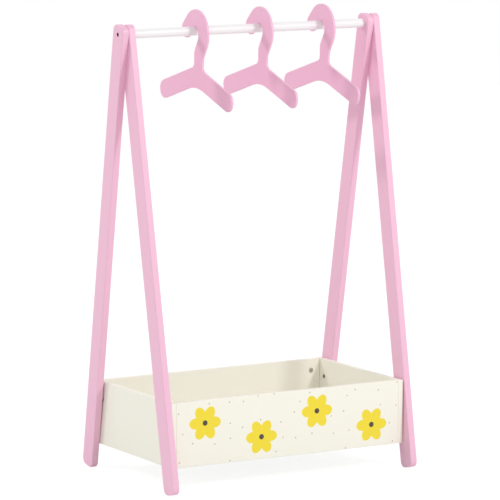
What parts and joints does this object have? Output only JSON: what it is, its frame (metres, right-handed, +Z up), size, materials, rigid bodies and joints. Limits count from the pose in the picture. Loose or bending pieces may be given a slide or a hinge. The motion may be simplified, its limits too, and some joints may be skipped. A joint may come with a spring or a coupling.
{
  "type": "kids clothing rack",
  "caption": "Child-height clothing rack: A-frames of flat painted boards carry a round rail with flat board hangers above an open storage box.",
  "frame": {"origin": "on the floor under the middle of the rack", "axes": "+X right along the rail, -Y to the front (the printed panel), +Z up"},
  "size_m": [0.6528, 0.4204, 1.0294],
  "materials": {
    "pink_paint": "satin pink paint",
    "cream_paint": "satin cream paint",
    "printed_cream_paint": "satin cream paint with a printed pattern",
    "white_paint": "satin white paint",
    "black_steel": "black zinc plating",
    "zinc": "bright zinc",
    "grey_plastic": "matte",
    "beech": "bare"
  },
  "bodies": {
    "frame": {"leg_left_back": "pink_paint", "leg_left_front": "pink_paint", "leg_right_back": "pink_paint", "leg_right_front": "pink_paint", "hanging_rail": "white_paint", "rail_inserts": "zinc", "rail_bolts": "black_steel", "box_left_panel": "cream_paint", "box_right_panel": "cream_paint", "box_front_panel": "printed_cream_paint", "box_back_panel": "cream_paint", "box_bottom_panel": "cream_paint", "inner_leg_bolts": "black_steel", "outer_leg_bolts": "black_steel", "leg_inserts": "zinc", "leg_spacers": "grey_plastic", "cam_locks": "zinc", "cam_bolts": "zinc", "corner_dowels": "beech"},
    "hanger_left": {"hanger_left": "pink_paint"},
    "hanger_middle": {"hanger_middle": "pink_paint"},
    "hanger_right": {"hanger_right": "pink_paint"}
  },
  "joints": [
    {"name": "hanger_left_swing", "type": "hinge", "parent": "frame", "child": "hanger_left", "pos_m": [-0.13459, 0, 0.982], "axis": [1, 0, 0], "range_deg": [-35, 35]},
    {"name": "hanger_middle_swing", "type": "hinge", "parent": "frame", "child": "hanger_middle", "pos_m": [0.02705, 0, 0.982], "axis": [1, 0, 0], "range_deg": [-35, 35]},
    {"name": "hanger_right_swing", "type": "hinge", "parent": "frame", "child": "hanger_right", "pos_m": [0.18557, 0, 0.982], "axis": [1, 0, 0], "range_deg": [-35, 35]}
  ]
}
